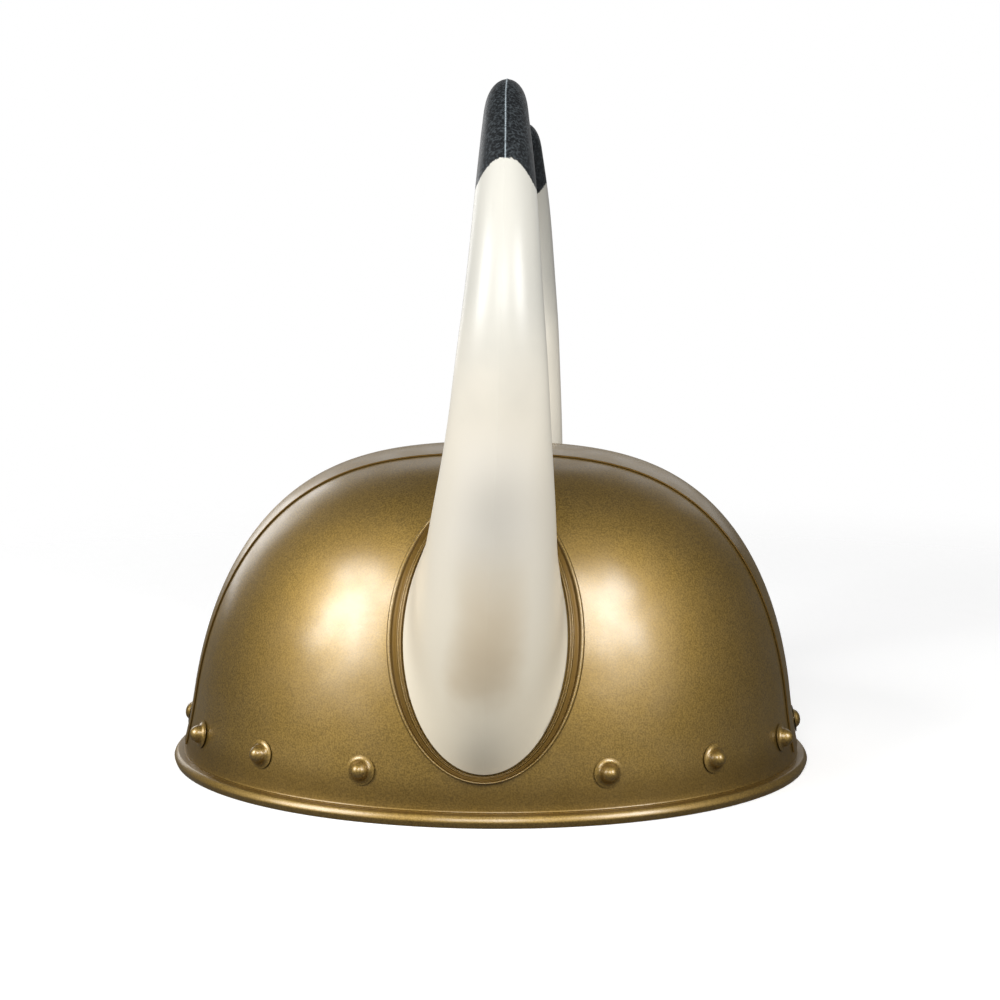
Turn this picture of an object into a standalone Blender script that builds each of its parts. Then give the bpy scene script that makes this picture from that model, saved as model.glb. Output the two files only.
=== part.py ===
"""Horned costume helmet: a gold plastic bowl with a crown band, two collared horns and domed rivets.

Metres, +Z up. The origin is the middle of the rim's underside. +X is the front of the helmet, and the
horns stand on its two sides, at -Y and +Y. The bowl is a superellipsoid: every piece that sits on it is
worked out from the bowl's own surface, so the collars, the band and the rivets follow its size.
"""
import math

import bmesh
import bpy
import numpy as np
from mathutils import Matrix, Vector

# Bowl: half sizes of its outer wall, and the two exponents of its section
BOWL_HALF_LENGTH = 0.1232
BOWL_HALF_WIDTH = 0.1064
BOWL_HEIGHT = 0.1275
HEIGHT_POWER = 2.08
SECTION_POWER = 3.15
CROWN_LEAN = 0.0027             # the crown sits this far ahead of the rim's middle
# The wall turns out towards the rim: by a share of its half sizes, from a height down
END_FLARE = 0.033               # at the front and the back
END_FLARE_HEIGHT = 0.030
SIDE_FLARE = 0.010
SIDE_FLARE_HEIGHT = 0.0074
WALL = 0.0020
# half of the bowl's full size, its flare and the flare's height: along the helmet and across it
BOWL_WAYS = (
    (BOWL_HALF_LENGTH, END_FLARE, END_FLARE_HEIGHT),
    (BOWL_HALF_WIDTH, SIDE_FLARE, SIDE_FLARE_HEIGHT),
)

# Rim bead: a half round roll along the bottom edge, under a fine ridge and a groove in the wall
BEAD_RADIUS = 0.0024
BEAD_OUT = 0.0011               # bead centre, out from the wall
RIDGE_HEIGHT = 0.0059
RIDGE_OUT = 0.0006
RIDGE_SPREAD = 0.0008           # from its crest up to the plain wall, and down to the groove
GROOVE_OUT = 0.0002
WALL_FOOT = 0.0090              # the plain wall starts here
FOOT_RING = 0.0045              # one more ring inside the foot keeps the wall's thickness there

# Fittings stand a little ahead of the middle, over the wearer's ears
FITTING_SHIFT = 0.0021
SEAT_GAP = 0.00045              # between a fitting and the wall that it sits on

# Crown band, front to back
BAND_WIDTH = 0.048
BAND_GAP = 0.0003               # between the band and the wall
BAND_THICKNESS = 0.0008
BAND_FOOT = 0.0078              # its ends stop just above the rim's ridge

# Horn root and collar: ovals on the side of the bowl
ROOT_HEIGHT = 0.0664
ROOT_HALF_LENGTH = 0.0296
ROOT_HALF_HEIGHT = 0.0472
COLLAR_HALF_LENGTH = 0.0360
COLLAR_HALF_HEIGHT = 0.0508
COLLAR_CLEARANCE = 0.0007       # between the collar's lip and the horn
HOLE_CLEARANCE = 0.0004         # between the wall's opening and the horn
PLUG_NEAR = 0.45                # the opening's cutter runs across between these shares of the half width
PLUG_FAR = 1.20
# across the collar: share of its width from the outer edge in, and height over the bowl
COLLAR_PROFILE = (
    (0.00, 0.00100),
    (0.07, 0.00165),
    (0.17, 0.00190),
    (0.27, 0.00165),
    (0.36, 0.00110),
    (0.70, 0.00105),
    (0.80, 0.00150),
    (0.90, 0.00155),
    (1.00, 0.00110),
)

# Horn: wall, inner flange that holds it in the bowl, and its sections from the root to the tip.
# Each row gives the section's lower, outer end and its upper, inner end in the plane across the helmet,
# how far it stands towards the front, and half its length front to back.
HORN_WALL = 0.0015
FLANGE_REACH = 0.0030
FLANGE_THICKNESS = 0.0015
NECK_RISE = 0.0004              # the neck's plain part ends this far over the collar's lip
HORN_SECTIONS = (
    # outer out, up      inner out, up       fore     half length
    (0.1180, 0.0320,     0.0790, 0.1185,     0.0028,  0.0283),
    (0.1300, 0.0510,     0.0910, 0.1210,     0.0039,  0.0262),
    (0.1410, 0.0710,     0.1010, 0.1225,     0.0049,  0.0242),
    (0.1560, 0.1040,     0.1190, 0.1285,     0.0067,  0.0216),
    (0.1770, 0.1450,     0.1490, 0.1600,     0.0096,  0.0170),
    (0.1830, 0.1720,     0.1560, 0.1740,     0.0105,  0.0150),
    (0.1810, 0.1940,     0.1555, 0.1895,     0.0110,  0.0131),
    (0.1600, 0.2335,     0.1420, 0.2225,     0.0110,  0.0102),
    (0.1300, 0.2599,     0.1215, 0.2464,     0.0100,  0.0078),
)
TIP_LENGTH = 0.0190             # the rounded end, past the last section

# Rivets: three on each side of each horn, and one at each end of the band, with a flatter head
# length ahead of the fittings, and the same behind them, and height
RIVET_SPOTS = (
    (0.0451, 0.0183),
    (0.0850, 0.0183),
    (0.1138, 0.0172),
)
RIVET_RADIUS = 0.0055
HEAD_SHARE = 0.90               # the dome's share of that radius, inside a small foot
RIVET_RISE = 0.0047
END_RIVET_HEIGHT = 0.0160
END_RIVET_RISE = 0.0026
SHANK_RADIUS = 0.0020
SHANK_CLEARANCE = 0.0003
SHANK_END = 0.0010                           # past the inner wall
PLUG_REACH = 0.0045                          # of the cutters, each way from the wall

# Facets
BOWL_SEGMENTS = 48
BOWL_ROWS = 14
BAND_STATIONS = 40
BAND_ACROSS = 6
OVAL_SEGMENTS = 24
HORN_ROWS = 13
TIP_ROWS = 3
PAINTED_ROWS = 2                # rows of the horn below its rounded end that are black too
RIVET_SEGMENTS = 10
HOLE_SEGMENTS = 8
FINE_STEPS = 400                # for evenly spaced places along the band

GOLD = ((0.245, 0.160, 0.052, 1.0), 0.36, 0.85)
IVORY = ((0.800, 0.765, 0.640, 1.0), 0.28, 0.0)
BLACK = ((0.022, 0.024, 0.026, 1.0), 0.55, 0.0)


def clear_scene():
    for item in list(bpy.data.objects):
        bpy.data.objects.remove(item, do_unlink=True)


def material(name, finish):
    colour, roughness, metallic = finish
    result = bpy.data.materials.new(name)
    result.use_nodes = True
    shader = result.node_tree.nodes["Principled BSDF"]
    shader.inputs["Base Color"].default_value = colour
    shader.inputs["Roughness"].default_value = roughness
    shader.inputs["Metallic"].default_value = metallic
    result.diffuse_color = colour
    return result


# The bowl's surface -------------------------------------------------------------------------------

def half_sizes(height):
    """Half the wall's length and half its width at a height."""
    level = min(max(height / BOWL_HEIGHT, 0.0), 1.0)
    dome = max(1.0 - level ** HEIGHT_POWER, 1e-9) ** (1.0 / SECTION_POWER)
    sizes = []
    for full, flare, start in BOWL_WAYS:
        sizes.append(full * (dome + flare * max(1.0 - height / start, 0.0) ** 2))
    return sizes


def draw_in(height):
    """How fast those two half sizes fall with the height."""
    level = min(max(height / BOWL_HEIGHT, 0.0), 1.0)
    left = max(1.0 - level ** HEIGHT_POWER, 1e-9)
    dome = HEIGHT_POWER * level ** (HEIGHT_POWER - 1.0) * left ** (1.0 / SECTION_POWER - 1.0)
    dome /= SECTION_POWER * BOWL_HEIGHT
    falls = []
    for full, flare, start in BOWL_WAYS:
        falls.append(full * (dome + 2.0 * flare * max(1.0 - height / start, 0.0) / start))
    return falls


def lean_at(height):
    """How far ahead of the rim's middle the wall's middle lies at a height."""
    return CROWN_LEAN * height / BOWL_HEIGHT


def bowl_normal(point):
    """Outward direction of the bowl's wall at a point on it."""
    x, y, z = point
    half_length, half_width = half_sizes(z)
    length_fall, width_fall = draw_in(z)
    along, side = (x - lean_at(z)) / half_length, y / half_width
    radius = max(math.hypot(along, side), 1e-6)
    along, side = along / radius, side / radius
    slope_z = along ** 2 * length_fall / half_length + side ** 2 * width_fall / half_width
    slope_z -= along / half_length * CROWN_LEAN / BOWL_HEIGHT
    return np.array(Vector((along / half_length, side / half_width, slope_z)).normalized())


def offset(point, distance):
    """A point moved out from the wall, or in if the distance is negative."""
    return np.asarray(point) + bowl_normal(point) * distance


def side_point(x, z, side):
    """The point of the bowl's wall at a length and a height, on the -Y or the +Y side."""
    half_length, half_width = half_sizes(z)
    along = (x - lean_at(z)) / half_length
    return np.array((x, side * half_width * math.sqrt(max(1.0 - along ** 2, 0.0)), z))


# Mesh helpers -------------------------------------------------------------------------------------

def add_object(name, bm, materials, sharp_angle=math.radians(32)):
    """Turn a closed bmesh into a named object with smooth shading."""
    bmesh.ops.recalc_face_normals(bm, faces=bm.faces[:])
    mesh = bpy.data.meshes.new(name)
    bm.to_mesh(mesh)
    bm.free()
    mesh.shade_smooth()
    mesh.set_sharp_from_angle(angle=sharp_angle)
    for item in materials:
        mesh.materials.append(item)
    result = bpy.data.objects.new(name, mesh)
    bpy.context.scene.collection.objects.link(result)
    return result


def add_loop(bm, points):
    return [bm.verts.new(Vector(point)) for point in points]


def bridge(bm, loop_a, loop_b):
    """Quads between two closed loops of the same length."""
    faces = []
    count = len(loop_a)
    for index in range(count):
        after = (index + 1) % count
        faces.append(bm.faces.new((loop_a[index], loop_a[after], loop_b[after], loop_b[index])))
    return faces


def close_to_point(bm, loop, point):
    """A fan from a loop to one point."""
    pole = bm.verts.new(Vector(point))
    count = len(loop)
    return [bm.faces.new((loop[index], loop[(index + 1) % count], pole)) for index in range(count)]


def smooth_rows(rows, count):
    """Natural cubic curve through the rows of a table, read at evenly spaced places along it."""
    table = np.array(rows, dtype=float)
    steps = np.linalg.norm(np.diff(table, axis=0), axis=1)
    places = np.concatenate(([0.0], np.cumsum(steps)))
    size = len(places)
    system = np.zeros((size, size))
    right = np.zeros_like(table)
    system[0, 0] = system[-1, -1] = 1.0
    for row in range(1, size - 1):
        before, after = steps[row - 1], steps[row]
        system[row, row - 1] = before
        system[row, row] = 2.0 * (before + after)
        system[row, row + 1] = after
        rise = (table[row + 1] - table[row]) / after - (table[row] - table[row - 1]) / before
        right[row] = 6.0 * rise
    bend = np.linalg.solve(system, right)
    wanted = np.linspace(0.0, places[-1], count)
    result = []
    for place in wanted:
        row = min(int(np.searchsorted(places, place, side="right")) - 1, size - 2)
        width = steps[row]
        left, gone = places[row + 1] - place, place - places[row]
        value = (bend[row] * left ** 3 + bend[row + 1] * gone ** 3) / (6.0 * width)
        value += (table[row] / width - bend[row] * width / 6.0) * left
        value += (table[row + 1] / width - bend[row + 1] * width / 6.0) * gone
        result.append(value)
    return np.array(result)


def cut(target, cutters, name):
    """Cut hidden guides out of an object with one Boolean."""
    joined = bmesh.new()
    for cutter in cutters:
        joined.from_mesh(cutter.data)
        bpy.data.objects.remove(cutter, do_unlink=True)
    guide = add_object(name, joined, ())
    guide.hide_render = True
    guide.display_type = "WIRE"
    modifier = target.modifiers.new("openings", "BOOLEAN")
    modifier.operation = "DIFFERENCE"
    modifier.solver = "EXACT"
    modifier.object = guide
    return guide


# Helmet shell -------------------------------------------------------------------------------------

def rim_profile():
    """Down the outer wall's foot, round the bead and along the flat underside: (out, height) pairs."""
    points = [(0.0, RIDGE_HEIGHT + RIDGE_SPREAD), (RIDGE_OUT, RIDGE_HEIGHT),
              (GROOVE_OUT, RIDGE_HEIGHT - RIDGE_SPREAD)]
    for degrees in (108, 72, 36, 0, -36, -90):
        turn = math.radians(degrees)
        points.append((BEAD_OUT + BEAD_RADIUS * math.cos(turn), BEAD_RADIUS * (1.0 + math.sin(turn))))
    return points


def plan_loop(out, height, lean):
    """A level loop: the wall's oval at a height, moved straight out by a distance."""
    half_length, half_width = half_sizes(height)
    points = []
    for index in range(BOWL_SEGMENTS):
        turn = 2.0 * math.pi * index / BOWL_SEGMENTS
        normal = Vector((math.cos(turn) / half_length, math.sin(turn) / half_width)).normalized()
        x = half_length * math.cos(turn) + normal.x * out + lean
        points.append((x, half_width * math.sin(turn) + normal.y * out, height))
    return points


def wall_loops(lowest, rows):
    """Level loops of the outer wall from a height to just under its pole."""
    first = math.asin((lowest / BOWL_HEIGHT) ** (HEIGHT_POWER / 2.0))
    loops = []
    for row in range(rows):
        turn = first + (math.pi / 2.0 - first) * row / rows
        height = BOWL_HEIGHT * math.sin(turn) ** (2.0 / HEIGHT_POWER)
        loops.append(plan_loop(0.0, height, lean_at(height)))
    return loops


def make_shell(gold):
    bm = bmesh.new()
    outer = wall_loops(WALL_FOOT, BOWL_ROWS)
    inner = [plan_loop(-WALL, height, 0.0) for height in (0.0, FOOT_RING)]
    inner += [[offset(point, -WALL) for point in loop] for loop in wall_loops(WALL_FOOT, BOWL_ROWS)]
    loops = [add_loop(bm, points) for points in reversed(outer)]
    loops += [add_loop(bm, plan_loop(out, height, 0.0)) for out, height in rim_profile()]
    loops += [add_loop(bm, points) for points in inner]
    for upper, lower in zip(loops, loops[1:]):
        bridge(bm, upper, lower)
    close_to_point(bm, loops[0], (CROWN_LEAN, 0.0, BOWL_HEIGHT))
    close_to_point(bm, loops[-1], (CROWN_LEAN, 0.0, BOWL_HEIGHT - WALL))
    return add_object("helmet_shell", bm, (gold,))


# Ovals on the side of the bowl --------------------------------------------------------------------

def oval(half_length, half_height, distance, side, fore=FITTING_SHIFT, height=ROOT_HEIGHT):
    """A loop on the side of the bowl: an oval seen from the side, moved out from the wall."""
    points = []
    for index in range(OVAL_SEGMENTS):
        turn = 2.0 * math.pi * index / OVAL_SEGMENTS
        x = fore + half_length * math.sin(turn)
        z = height - half_height * math.cos(turn)
        points.append(offset(side_point(x, z, side), distance))
    return points


def oval_cutter(side):
    """A straight oval plug through one side wall."""
    bm = bmesh.new()
    loops = []
    for y in (BOWL_HALF_WIDTH * PLUG_NEAR, BOWL_HALF_WIDTH * PLUG_FAR):
        points = []
        for index in range(OVAL_SEGMENTS):
            turn = 2.0 * math.pi * index / OVAL_SEGMENTS
            x = FITTING_SHIFT + (ROOT_HALF_LENGTH + HOLE_CLEARANCE) * math.sin(turn)
            z = ROOT_HEIGHT - (ROOT_HALF_HEIGHT + HOLE_CLEARANCE) * math.cos(turn)
            points.append((x, side * y, z))
        loops.append(add_loop(bm, points))
    bridge(bm, *loops)
    for loop in loops:
        bm.faces.new(loop)
    return add_object("oval_plug", bm, ())


def make_collar(name, side, gold):
    bm = bmesh.new()
    inner_length = ROOT_HALF_LENGTH + COLLAR_CLEARANCE
    inner_height = ROOT_HALF_HEIGHT + COLLAR_CLEARANCE
    outline = [(0.0, SEAT_GAP)] + list(COLLAR_PROFILE) + [(1.0, SEAT_GAP)]
    loops = []
    for share, height in outline:
        half_length = COLLAR_HALF_LENGTH + (inner_length - COLLAR_HALF_LENGTH) * share
        half_height = COLLAR_HALF_HEIGHT + (inner_height - COLLAR_HALF_HEIGHT) * share
        loops.append(add_loop(bm, oval(half_length, half_height, height, side)))
    for index, loop in enumerate(loops):
        bridge(bm, loop, loops[(index + 1) % len(loops)])
    return add_object(name, bm, (gold,))


# Horns --------------------------------------------------------------------------------------------

def horn_section(row, side):
    """One level of the horn: an oval between the two ends that its row gives."""
    outer_out, outer_up, inner_out, inner_up, fore, half_length = row
    outer = Vector((outer_out, outer_up))
    inner = Vector((inner_out, inner_up))
    middle = (outer + inner) / 2.0
    half = (outer - inner) / 2.0
    points = []
    for index in range(OVAL_SEGMENTS):
        turn = 2.0 * math.pi * index / OVAL_SEGMENTS
        place = middle + half * math.cos(turn)
        points.append((fore + half_length * math.sin(turn), side * place.x, place.y))
    return points


def inset(row, wall):
    """The same section, smaller by a wall all round."""
    outer, inner = row[0:2], row[2:4]
    step = (outer - inner) * wall / np.linalg.norm(outer - inner)
    return np.concatenate((outer - step, inner + step, (row[4], row[5] - wall)))


def rounded_end(rows, length):
    """Rows that round off the horn past its last section, and the point that they close on."""
    last, before = rows[-1], rows[-2]
    middle = (last[0:2] + last[2:4]) / 2.0
    half = (last[0:2] - last[2:4]) / 2.0
    ahead = np.array((-half[1], half[0])) / np.linalg.norm(half)
    if np.dot(ahead, middle - (before[0:2] + before[2:4]) / 2.0) < 0.0:
        ahead = -ahead
    result = []
    for step in range(1, TIP_ROWS + 1):
        turn = math.pi / 2.0 * step / (TIP_ROWS + 1)
        centre = middle + ahead * length * math.sin(turn)
        reach_out = half * math.cos(turn)
        result.append(np.concatenate((centre + reach_out, centre - reach_out,
                                      (last[4], last[5] * math.cos(turn)))))
    end = middle + ahead * length
    return list(rows) + result, (last[4], end[0], end[1])


def make_horn(name, side, ivory, black):
    bm = bmesh.new()
    rows = smooth_rows(HORN_SECTIONS, HORN_ROWS)
    outside, tip = rounded_end(rows, TIP_LENGTH)
    inside, hollow_tip = rounded_end([inset(row, HORN_WALL) for row in rows], TIP_LENGTH - HORN_WALL)
    seat = -(WALL + SEAT_GAP)
    back = seat - FLANGE_THICKNESS
    neck_top = COLLAR_PROFILE[-1][1] + NECK_RISE
    skin = [horn_section(row, side) for row in reversed(outside)]
    skin.append(oval(ROOT_HALF_LENGTH, ROOT_HALF_HEIGHT, neck_top, side))
    skin.append(oval(ROOT_HALF_LENGTH, ROOT_HALF_HEIGHT, seat, side))
    skin.append(oval(ROOT_HALF_LENGTH + FLANGE_REACH, ROOT_HALF_HEIGHT + FLANGE_REACH, seat, side))
    skin.append(oval(ROOT_HALF_LENGTH + FLANGE_REACH, ROOT_HALF_HEIGHT + FLANGE_REACH, back, side))
    skin.append(oval(ROOT_HALF_LENGTH - HORN_WALL, ROOT_HALF_HEIGHT - HORN_WALL, back, side))
    skin += [horn_section(row, side) for row in inside]
    loops = [add_loop(bm, points) for points in skin]
    painted = close_to_point(bm, loops[0], (tip[0], side * tip[1], tip[2]))
    close_to_point(bm, loops[-1], (hollow_tip[0], side * hollow_tip[1], hollow_tip[2]))
    for index, (upper, lower) in enumerate(zip(loops, loops[1:])):
        faces = bridge(bm, upper, lower)
        if index < TIP_ROWS + PAINTED_ROWS:
            painted += faces
    for face in painted:
        face.material_index = 1
    return add_object(name, bm, (ivory, black))


# Crown band ---------------------------------------------------------------------------------------

def band_slice(y):
    """Points along the bowl from front to back at one distance from the middle, evenly spaced."""
    side = abs(y) / BOWL_HALF_WIDTH
    top = BOWL_HEIGHT * (1.0 - side ** SECTION_POWER) ** (1.0 / HEIGHT_POWER)
    dense = []
    for place in np.linspace(1.0, -1.0, FINE_STEPS):
        height = top - (top - BAND_FOOT) * place ** 2
        half_length, half_width = half_sizes(height)
        ahead = math.sqrt(max(1.0 - (y / half_width) ** 2, 0.0))
        dense.append((lean_at(height) + math.copysign(ahead, place) * half_length, y, height))
    dense = np.array(dense)
    run = np.concatenate(([0.0], np.cumsum(np.linalg.norm(np.diff(dense, axis=0), axis=1))))
    wanted = np.linspace(0.0, run[-1], BAND_STATIONS)
    return [np.array([np.interp(place, run, dense[:, axis]) for axis in range(3)]) for place in wanted]


def make_band(gold):
    bm = bmesh.new()
    slices = [band_slice(y) for y in np.linspace(-BAND_WIDTH / 2.0, BAND_WIDTH / 2.0, BAND_ACROSS + 1)]
    loops = []
    for station in range(BAND_STATIONS):
        under = [offset(points[station], BAND_GAP) for points in slices]
        over = [offset(points[station], BAND_GAP + BAND_THICKNESS) for points in slices]
        loops.append(add_loop(bm, under + over[::-1]))
    for near, far in zip(loops, loops[1:]):
        bridge(bm, near, far)
    across = BAND_ACROSS + 1
    for loop in (loops[0], loops[-1]):
        for index in range(BAND_ACROSS):
            mirror = 2 * across - 1 - index
            bm.faces.new((loop[index], loop[index + 1], loop[mirror - 1], loop[mirror]))
    return add_object("crown_band", bm, (gold,))


# Rivets -------------------------------------------------------------------------------------------

def rivet_places():
    """Each rivet's point on the wall, the height of its seat over the wall, and the rise of its head."""
    places = []
    for side in (1.0, -1.0):
        for length, height in RIVET_SPOTS:
            for way in (1.0, -1.0):
                point = side_point(FITTING_SHIFT + way * length, height, side)
                places.append((point, SEAT_GAP, RIVET_RISE))
    half_length, _ = half_sizes(END_RIVET_HEIGHT)
    band_seat = BAND_GAP + BAND_THICKNESS + SEAT_GAP
    for way in (1.0, -1.0):
        x = lean_at(END_RIVET_HEIGHT) + way * half_length
        places.append((np.array((x, 0.0, END_RIVET_HEIGHT)), band_seat, END_RIVET_RISE))
    return sorted(places, key=lambda place: math.atan2(place[0][1], place[0][0]) % (2.0 * math.pi))


def seat_matrix(point):
    """Frame on the wall: its Z points out of the wall."""
    normal = Vector(bowl_normal(point))
    turn = normal.to_track_quat("Z", "Y").to_matrix().to_4x4()
    return Matrix.Translation(Vector(point)) @ turn


def turned(profile, segments, frame):
    """A closed turned solid from (radius, height) pairs, whose first and last radius are zero."""
    bm = bmesh.new()
    loops = []
    for radius, height in profile[1:-1]:
        points = []
        for index in range(segments):
            turn = 2.0 * math.pi * index / segments
            points.append(frame @ Vector((radius * math.cos(turn), radius * math.sin(turn), height)))
        loops.append(add_loop(bm, points))
    for upper, lower in zip(loops, loops[1:]):
        bridge(bm, upper, lower)
    close_to_point(bm, loops[0], frame @ Vector((0.0, 0.0, profile[0][1])))
    close_to_point(bm, loops[-1], frame @ Vector((0.0, 0.0, profile[-1][1])))
    return bm


def rivet_profile(seat, rise):
    """Head, flat underside and shank, from the top of the head down."""
    head = [(0.0, seat + rise)]
    for degrees in (60, 32, 10):
        turn = math.radians(degrees)
        head.append((RIVET_RADIUS * HEAD_SHARE * math.cos(turn), seat + rise * math.sin(turn)))
    tail = -(WALL + SHANK_END)
    return head + [(RIVET_RADIUS, seat), (SHANK_RADIUS, seat), (SHANK_RADIUS, tail), (0.0, tail)]


def make_rivets(gold):
    """The rivets, and one plug for each that cuts its hole."""
    plugs = []
    band_plugs = []
    for number, (point, seat, rise) in enumerate(rivet_places(), start=1):
        frame = seat_matrix(point)
        profile = rivet_profile(seat, rise)
        add_object(f"rivet_{number:02d}", turned(profile, RIVET_SEGMENTS, frame), (gold,))
        radius = SHANK_RADIUS + SHANK_CLEARANCE
        radius /= math.cos(math.pi / HOLE_SEGMENTS)
        plug = ((0.0, PLUG_REACH), (radius, PLUG_REACH), (radius, -PLUG_REACH), (0.0, -PLUG_REACH))
        plugs.append(add_object("plug", turned(plug, HOLE_SEGMENTS, frame), ()))
        if abs(point[1]) < BAND_WIDTH / 4.0:
            band_plugs.append(add_object("plug", turned(plug, HOLE_SEGMENTS, frame), ()))
    return plugs, band_plugs


def main():
    clear_scene()
    gold = material("gold_spray", GOLD)
    ivory = material("ivory_plastic", IVORY)
    black = material("black_tip_paint", BLACK)
    shell = make_shell(gold)
    band = make_band(gold)
    for label, side in (("left", 1.0), ("right", -1.0)):
        make_collar(f"horn_collar_{label}", side, gold)
        make_horn(f"horn_{label}", side, ivory, black)
    plugs, band_plugs = make_rivets(gold)
    plugs += [oval_cutter(side) for side in (1.0, -1.0)]
    cut(shell, plugs, "shell_openings")
    cut(band, band_plugs, "band_openings")


main()
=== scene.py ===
"""The looks of a horned costume helmet: gold spray on a moulded bowl, and ivory horns with black tips.

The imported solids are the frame. Everything that follows the bowl is first a table of angles on its wall:
one group of nodes works out the wall itself, one tree lays the skin, the crown band, the collars and the
horns' necks on it, and another stands the rivets round the rim.
"""
import math

import bmesh
import bpy
import numpy as np
from mathutils import Matrix, Vector

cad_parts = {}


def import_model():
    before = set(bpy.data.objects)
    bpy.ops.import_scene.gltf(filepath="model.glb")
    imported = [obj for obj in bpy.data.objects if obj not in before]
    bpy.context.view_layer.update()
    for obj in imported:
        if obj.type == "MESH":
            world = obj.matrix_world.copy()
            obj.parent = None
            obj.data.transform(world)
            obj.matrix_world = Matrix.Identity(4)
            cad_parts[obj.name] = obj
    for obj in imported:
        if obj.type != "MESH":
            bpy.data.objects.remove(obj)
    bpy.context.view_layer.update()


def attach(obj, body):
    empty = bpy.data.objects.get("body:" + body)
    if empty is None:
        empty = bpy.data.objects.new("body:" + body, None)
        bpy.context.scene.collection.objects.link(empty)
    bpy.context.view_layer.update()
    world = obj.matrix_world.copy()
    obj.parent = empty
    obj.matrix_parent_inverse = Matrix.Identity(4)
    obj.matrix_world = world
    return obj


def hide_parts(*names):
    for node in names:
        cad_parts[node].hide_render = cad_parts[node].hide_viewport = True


# Bowl wall: half sizes of its outside, and the two exponents of its section
BOWL_HALF_LENGTH = 0.1232
BOWL_HALF_WIDTH = 0.1064
BOWL_HEIGHT = 0.1275
HEIGHT_POWER = 2.08
SECTION_POWER = 3.15
CROWN_LEAN = 0.0027             # the crown sits this far ahead of the rim's middle
# The wall turns out towards the rim: by a share of its half sizes, from a height down
END_FLARE = 0.033               # at the front and the back
END_FLARE_HEIGHT = 0.030
SIDE_FLARE = 0.010
SIDE_FLARE_HEIGHT = 0.0074
WALL = 0.0020

# Rim: a rolled lip whose face leans back under a fine raised line
WALL_FOOT = 0.0080              # the plain wall starts here
RIM_LINE = (
    # out     height
    (0.00000, 0.0056),
    (0.00004, 0.0053),
    (0.00012, 0.0051),
    (0.00016, 0.0050),
    (0.00013, 0.0049),
    (0.00004, 0.0048),
    (0.00000, 0.0047),
)
LIP_OUT = 0.0035
LIP_HEIGHT = 0.0045
LIP_NOSE = 0.0023               # the lip stands furthest out at this height
LIP_FACE = 0.0030               # radius of the face above its nose
LIP_TURN = 44                   # degrees of that face, up to its top edge
LIP_TOP_DROP = 0.0001           # the wall's foot meets the lip's top in a small round
LIP_BROW = 0.0005               # the lip's top turns down over this width
LIP_UNDER = 0.0014              # how far the underside draws in
LIP_UNDER_POWER = 1.3           # and how late it does so
LIP_UNDER_ROWS = (0.12, 0.30, 0.50, 0.70, 0.88, 0.97)   # shares of the nose's height, going down
LIP_BASE = 1.08                 # the flat base starts this much further in than the underside ends
INNER_FOOT_ROWS = (0.0, 0.003, 0.006)                   # heights of the inner wall's foot

# Fittings on the wall
FITTING_SHIFT = 0.0021
SEAT_GAP = 0.00045
BAND_WIDTH = 0.048
BAND_GAP = 0.0002
BAND_THICKNESS = 0.0005
BAND_FOOT = 0.0078
BAND_EDGE = 0.00025             # radius of the band's long edges
BAND_EDGE_TURNS = (0.0, 22.5, 45.0, 67.5, 90.0)
ROOT_HEIGHT = 0.0664
ROOT_HALF_LENGTH = 0.0296
ROOT_HALF_HEIGHT = 0.0472
COLLAR_HALF_LENGTH = 0.0360
COLLAR_HALF_HEIGHT = 0.0508
COLLAR_CLEARANCE = 0.0007
HOLE_CLEARANCE = 0.0004
# across the collar: share of its width from the outer edge in, height over the bowl, and how much
# painted shade lies there, darkening its outer edge and its channels
COLLAR_PROFILE = (
    (0.00, 0.00085, 0.7),
    (0.05, 0.00150, 0.7),
    (0.10, 0.00188, 0.1),
    (0.16, 0.00206, 0.0),
    (0.22, 0.00206, 0.0),
    (0.28, 0.00186, 0.1),
    (0.33, 0.00142, 0.8),
    (0.37, 0.00112, 1.0),
    (0.45, 0.00100, 1.0),
    (0.60, 0.00095, 1.0),
    (0.68, 0.00100, 0.9),
    (0.74, 0.00128, 0.2),
    (0.79, 0.00128, 0.2),
    (0.84, 0.00102, 0.9),
    (0.90, 0.00120, 0.3),
    (0.95, 0.00118, 0.6),
    (1.00, 0.00085, 1.0),
)

# Horns: wall, the flange that holds them in the bowl, and their sections from the root to the tip.
# Each row gives the section's lower, outer end and its upper, inner end in the plane across the helmet,
# how far it stands towards the front, and half its length front to back.
HORN_WALL = 0.0015
FLANGE_REACH = 0.0030
FLANGE_THICKNESS = 0.0015
NECK_TOP = 0.0015               # the neck leaves the wall's opening this far over the wall
HORN_SECTIONS = (
    # outer out, up      inner out, up       fore     half length
    (0.1180, 0.0320,     0.0790, 0.1185,     0.0028,  0.0283),
    (0.1300, 0.0510,     0.0910, 0.1210,     0.0039,  0.0262),
    (0.1410, 0.0710,     0.1010, 0.1225,     0.0049,  0.0242),
    (0.1560, 0.1040,     0.1190, 0.1285,     0.0067,  0.0216),
    (0.1770, 0.1450,     0.1490, 0.1600,     0.0096,  0.0170),
    (0.1830, 0.1720,     0.1560, 0.1740,     0.0105,  0.0150),
    (0.1810, 0.1940,     0.1555, 0.1895,     0.0110,  0.0131),
    (0.1600, 0.2335,     0.1420, 0.2225,     0.0110,  0.0102),
    (0.1300, 0.2599,     0.1215, 0.2464,     0.0100,  0.0078),
)
TIP_LENGTH = 0.0190
HORN_TRIM = 0.00035             # the modelled horn stays this far inside the solid's facets
SEAM_RISE = 0.00022             # mould seam along the horn's outer and inner line
SEAM_WIDTH = 0.00028            # how far its thread falls away to each side
SEAM_WORN_WIDTH = 0.00017       # and how far the paint is worn off it
SEAM_START = 0.2360             # it is plain above this height and faint below it
SEAM_FAINT = 0.18
SEAM_FADE = 0.004               # over this length it comes up, and ends before the tip
SEAM_OFFSETS = (0.0, 0.00016, 0.00034, 0.00060, 0.00110)
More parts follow.
